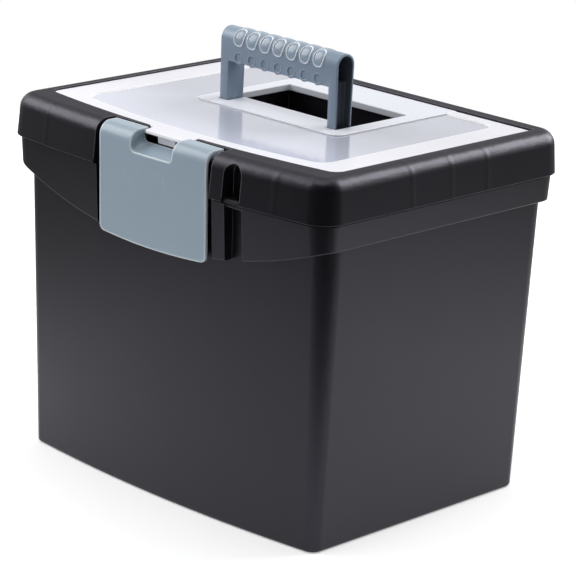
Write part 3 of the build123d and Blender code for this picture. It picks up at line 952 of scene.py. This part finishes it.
    def hump(self) -> bpy.types.Object:
        """One swelling over the grip's back, drawn from a short cylinder.

        Returns:
            The swelling, in the middle of the grip.
        """
        root = self.grip_radius - self.ring_root
        piece = self.post(Along.X, root, self.ring_width, self.grip_z)
        half = self.ring_width / 2
        with editing(piece, Choose.EDGES):
            pick(lambda _, run: abs(run.x) > half)
            bpy.ops.mesh.subdivide(number_cuts=self.ring_cuts)
        for step in range(1, self.ring_cuts + 1):
            x = -half + self.ring_width * step / (self.ring_cuts + 1)
            swell = math.cos(math.pi / 2 * (x / half) ** 2)
            factor = 1 + (self.ring_rise + self.ring_root) * swell / root
            with editing(piece):
                pick(lambda spot, _: abs(spot.x - x) < NEAR)
                bpy.ops.transform.resize(value=(1, factor, factor),
                                         center_override=(0, self.axis_y, self.grip_z))
        with editing(piece):
            bpy.ops.mesh.select_all(action="SELECT")
            bpy.ops.mesh.bisect(plane_co=(0, self.axis_y, self.grip_z - self.ring_low),
                                plane_no=(0, 0, 1), use_fill=True, clear_inner=True)
        cut(piece, self.post(Along.X, self.grip_radius - self.ring_inner, 2 * self.ring_width,
                             self.grip_z))
        return piece

    def rim(self) -> bpy.types.Object:
        """The round bead on the front shoulder, laid on the grip by a shrinkwrap.

        Returns:
            The bead, in the middle of the grip.
        """
        lean = math.radians(self.bead_lean)
        ahead = Vector((0, -math.cos(lean), math.sin(lean)))
        middle = Vector((0, self.axis_y, self.grip_z)) + ahead * self.bead_reach
        former = self.post(Along.X, self.grip_radius + self.bead_lift, self.ring_width + 4 * MM,
                           self.grip_z, sides=96)
        bpy.ops.mesh.primitive_circle_add(vertices=64, radius=1, fill_type="NOTHING",
                                          location=middle,
                                          rotation=(math.pi / 2 - lean, 0, 0))
        bead = bpy.context.object
        bead.scale = (self.ring_width / 2 - self.bead_inset,
                      self.bead_reach * math.tan(math.radians(self.bead_spread)), 1)
        bead = settle(bead, "bead")
        modify(bead, "SHRINKWRAP", target=former, wrap_method="NEAREST_SURFACEPOINT")
        bpy.data.objects.remove(former)
        alone(bead)
        bpy.ops.object.convert(target="CURVE")
        bead = bpy.context.object
        bead.data.bevel_depth = self.bead_radius
        bead.data.bevel_resolution = 3
        bpy.ops.object.convert(target="MESH")
        return settle(bpy.context.object, "bead")

    def pad(self) -> bpy.types.Object:
        """One round pad through the underside of the grip, open inside as the grip is.

        Returns:
            The pad, in the middle of the grip.
        """
        piece = self.post(Along.Y, self.pad_radius, 2 * self.grip_radius - 0.1 * MM,
                          self.grip_low + self.pad_radius - self.pad_drop, sides=40)
        hollow = self.upright(self.pad_inset, 3 * self.pad_radius, "tool")
        cut(hollow, block((-FAR, -FAR, 0.0), (FAR, FAR, self.grip_low + self.pad_floor)))
        cut(piece, hollow)
        return piece

    def dimple(self) -> bpy.types.Object:
        """The shallow round sinks in the front and the rear of one pad.

        Returns:
            The tool that cuts them, in the middle of the grip.
        """
        up = self.grip_low + self.pad_radius - self.pad_drop + self.dimple_lift
        piece = self.post(Along.Y, self.pad_radius - self.dimple_inset,
                          2 * self.grip_radius + 4 * MM, up, sides=40)
        reach = self.grip_radius - self.dimple_depth
        cut(piece, block((-FAR, self.axis_y - reach, 0.0), (FAR, self.axis_y + reach, FAR)))
        return piece


# ---------------------------------------------------------------- studio
@dataclass(frozen=True)
class Fade:
    """A soft loss of strength.

    Attributes:
        start: Value at which the loss starts.
        end: Value at which it is full.
        share: Share that is lost there.
    """

    start: float
    end: float
    share: float

    def over(self, value: Field) -> Field:
        """What is left at a value, 1 before the start."""
        return 1 - self.share * value.step(self.start, self.end)


@dataclass(frozen=True)
class Softbox:
    """A square lamp that points at the box.

    Attributes:
        name: Name of the lamp.
        place: Where it stands, in metres.
        size: Length of its sides, in metres.
        power: Watts.
    """

    name: str
    place: Place
    size: float
    power: float

    def hang(self, target: Vector) -> None:
        """Hangs the lamp and turns it.

        Args:
            target: The place that it points at.
        """
        data = bpy.data.lights.new(self.name, "AREA")
        data.shape = "SQUARE"
        data.size = self.size
        data.energy = self.power
        lamp = bpy.data.objects.new(self.name, data)
        bpy.context.collection.objects.link(lamp)
        lamp.location = self.place
        lamp.rotation_euler = (target - Vector(self.place)).to_track_quat("-Z", "Y").to_euler()


@dataclass
class Studio:
    """Floor, surroundings, lamps and camera.

    Attributes:
        floor_radius: Radius of the round floor, in metres.
        floor_z: Its height, just below the box, in metres.
        floor_patch: Distance between its soft patches, in metres.
        floor_tones: The colours of the patches.
        floor_glow: Light that it shows to the camera on top of what falls on it.
        camera_side: The way from the box to the camera, along X and Y.
        mirror_ahead: That way, where the mirrored floor has ended, and where it is still whole.
        mirror_middle: Middle of the mirrored floor, along X and Y.
        mirror_far: How it fades with the squared distance from there.
        mirror_left: How it fades along X.
        mirror_back: How it fades along Y.
        sky_dark: Least light of the mirrored sky.
        sky_behind: Toward the camera, where the bright sky starts, and where it is full.
        sky_up: The same, along Z.
        soft_light: Light on dull faces from the left.
        soft_loss: What it loses to the right.
        soft_right: Along X, where the loss starts, and where it is full.
        aim: The place that the lamps point at, in metres.
        camera_place: Where the camera stands, in metres.
        yaw: Camera turned about the vertical, in degrees.
        pitch: Camera tipped down, in degrees.
        roll: Camera rolled about its own axis, in degrees.
        lens: Focal length in mm on a 36 mm sensor.
        lamps: The lamps.
    """

    floor_radius: float = 1.15
    floor_z: float = -0.3 * MM
    floor_patch: float = 0.2
    floor_tones: tuple[Colour, Colour] = ((0.84, 0.84, 0.845), (0.86, 0.86, 0.865))
    floor_glow: float = 0.35
    camera_side: Span = (0.69, -0.72)
    mirror_ahead: Span = (0.66, 0.28)
    mirror_middle: Span = (0.10, 0.05)
    mirror_far: Fade = Fade(0.04, 1.02, 0.74)
    mirror_left: Fade = Fade(-0.22, -0.62, 0.5)
    mirror_back: Fade = Fade(0.25, 0.75, 0.4)
    sky_dark: float = 0.02
    sky_behind: Span = (0.40, -0.45)
    sky_up: Span = (-0.35, 0.30)
    soft_light: float = 0.62
    soft_loss: float = 0.40
    soft_right: Span = (-0.2, 0.8)
    aim: Place = (0.0, 0.0, 0.15)
    camera_place: Place = (1.463922, -1.503634, 0.789404)
    yaw: float = 44.035
    pitch: float = 17.134
    roll: float = 2.537
    lens: float = 179.14
    lamps: tuple[Softbox, ...] = (
        Softbox("overhead", (0.0, -0.3, 2.3), 1.5, 13),
        Softbox("left", (-1.7, -0.9, 1.5), 1.5, 24),
        Softbox("rear", (0.7, 2.1, 1.5), 1.6, 50),
    )

    def build(self) -> None:
        """Sets the studio up round the box."""
        self.lay_floor()
        self.light_surroundings()
        for lamp in self.lamps:
            lamp.hang(Vector(self.aim))
        self.place_camera()
        bpy.context.scene.view_settings.view_transform = "Standard"
        log.info("studio: %d lamps", len(self.lamps))

    def lay_floor(self) -> None:
        """A round pale floor, which shows the background's white where nothing shades it."""
        bpy.ops.mesh.primitive_circle_add(vertices=128, radius=self.floor_radius,
                                          fill_type="NGON", location=(0, 0, self.floor_z))
        floor = settle(bpy.context.object, "floor")
        material, graph = new_material("pale_floor")
        tint = graph.mix(graph.noise(self.floor_patch), *self.floor_tones)
        matt = graph.node("ShaderNodeBsdfDiffuse", inputs={"Color": tint})
        glow = graph.node("ShaderNodeEmission", inputs={
            "Color": WHITE, "Strength": self.seen_directly(graph) * self.floor_glow})
        white = graph.node("ShaderNodeAddShader", inputs={0: matt, 1: glow})
        x, y = graph.place("X"), graph.place("Y")
        ahead = self.toward_camera(x, y).step(*self.mirror_ahead)
        east, north = x - self.mirror_middle[0], y - self.mirror_middle[1]
        near = (self.mirror_far.over(east * east + north * north)
                * self.mirror_left.over(x) * self.mirror_back.over(y))
        mirrored = graph.node("ShaderNodeLightPath", output="Is Glossy Ray")
        black = graph.node("ShaderNodeEmission", inputs={"Strength": 0.0})
        graph.finish(graph.node("ShaderNodeMixShader",
                                inputs={0: mirrored * (1 - ahead * near), 1: white, 2: black}))
        floor.data.materials.append(material)

    def toward_camera(self, x: Field, y: Field) -> Field:
        """How far a place or a direction lies toward the camera."""
        return x * self.camera_side[0] + y * self.camera_side[1]

    def seen_directly(self, graph: Graph) -> Field:
        """1 for a ray from the camera, a mirror image or a view through glass, else 0.

        Args:
            graph: The graph of the floor's material.

        Returns:
            The mask.
        """
        rays = [graph.node("ShaderNodeLightPath", output=kind)
                for kind in ("Is Camera Ray", "Is Glossy Ray", "Is Transmission Ray")]
        return rays[0].at_least(rays[1]).at_least(rays[2])

    def light_surroundings(self) -> None:
        """White for the camera, and dark on the camera's own side in what the gloss mirrors."""
        world = bpy.data.worlds.new("surroundings")
        world.use_nodes = True
        bpy.context.scene.world = world
        graph = Graph(world.node_tree)
        direction = graph.node("ShaderNodeTexCoord", output="Generated")
        x, y, z = (graph.node("ShaderNodeSeparateXYZ", inputs={0: direction}, output=axis)
                   for axis in "XYZ")
        behind = self.toward_camera(x, y).step(*self.sky_behind)
        mirrored = self.sky_dark + behind * z.step(*self.sky_up)
        soft = self.soft_light - self.soft_loss * x.step(*self.soft_right)
        camera, through, glossy = (
            graph.node("ShaderNodeLightPath", output=kind)
            for kind in ("Is Camera Ray", "Is Transmission Ray", "Is Glossy Ray"))
        white = camera.at_least(through)
        strength = white + (1 - white) * (glossy * mirrored + (1 - glossy) * soft)
        graph.finish(graph.node("ShaderNodeBackground",
                                inputs={"Color": WHITE, "Strength": strength}),
                     "ShaderNodeOutputWorld")

    def place_camera(self) -> None:
        """Stands the camera where the picture was taken from."""
        data = bpy.data.cameras.new("camera")
        data.lens = self.lens
        data.sensor_width = 36
        camera = bpy.data.objects.new("camera", data)
        bpy.context.collection.objects.link(camera)
        camera.matrix_world = (
            Matrix.Translation(self.camera_place)
            @ Matrix.Rotation(math.radians(self.yaw), 4, "Z")
            @ Matrix.Rotation(math.radians(90 - self.pitch), 4, "X")
            @ Matrix.Rotation(math.radians(self.roll), 4, "Z"))
        bpy.context.scene.camera = camera


def main() -> None:
    """Dresses the frame, builds the handle and sets up the studio."""
    logging.basicConfig(level=logging.INFO, format="%(message)s")
    body = MouldedPlastic("body_plastic", BLACK, roughness=0.34, ior=1.47, gloss=COOL_GLOSS)
    lid = LidPlastic("lid_plastic", BLACK, roughness=0.36, edge=0.9 * MM,
                     edge_highlight=(0.14, 0.135, 0.155), edge_highlight_from=252 * MM, top_roughness=0.4,
                     gloss=COOL_GLOSS)
    cover = CoverPlastic("cover_plastic")
    plate = MouldedPlastic("plate_plastic", (0.63, 0.645, 0.70), roughness=0.45, tone=0.04,
                           grain=0.5 * MM, edge=1.3 * MM, edge_highlight=(0.93, 0.93, 0.95))
    latch = MouldedPlastic("latch_plastic", (0.28, 0.36, 0.43), roughness=0.25, tone=0.05,
                           edge=2.4 * MM, edge_highlight=(0.76, 0.83, 0.88))
    handle = HandlePlastic("handle_plastic", (0.22, 0.285, 0.365), roughness=0.34, tone=0.05,
                           edge_highlight=HANDLE_EDGE_HIGHLIGHT)
    # Lighter than the handle on the swellings: a painted sheen, with less roughness.
    worn_and_sheen = MouldedPlastic("handle_swellings_sheen", (0.27, 0.34, 0.42), roughness=0.16, tone=0.05,
                          edge_highlight=HANDLE_EDGE_HIGHLIGHT)
    # Far lighter on the beads of the rings: a painted highlight.
    polish = MouldedPlastic("handle_bead_highlight", (0.74, 0.79, 0.84), roughness=0.2, tone=0.05,
                            edge_highlight=(0.80, 0.84, 0.88))
    steel = SteelWire("pin_steel")
    for node, finish in (("organiser", lid), ("hinge_pin_left", steel), ("hinge_pin_right", steel)):
        MouldedPart(node, finish).build()
    RoundedPart("tub", body, body="tub", slot="body_plastic", radius=0.6 * MM).build()
    RoundedPart("lid", lid, body="lid", slot="lid_plastic", radius=0.7 * MM).build()
    RoundedPart("cover", cover, body="cover", slot="cover_plastic", radius=0.4 * MM).build()
    RoundedPart("handle_plate", plate, body="lid", slot="plate_plastic").build()
    RoundedPart("latch", latch, body="latch", slot="latch_plastic").build()
    CarryHandle(handle, worn_and_sheen, polish).build()
    Studio().build()


if __name__ == "__main__":
    main()
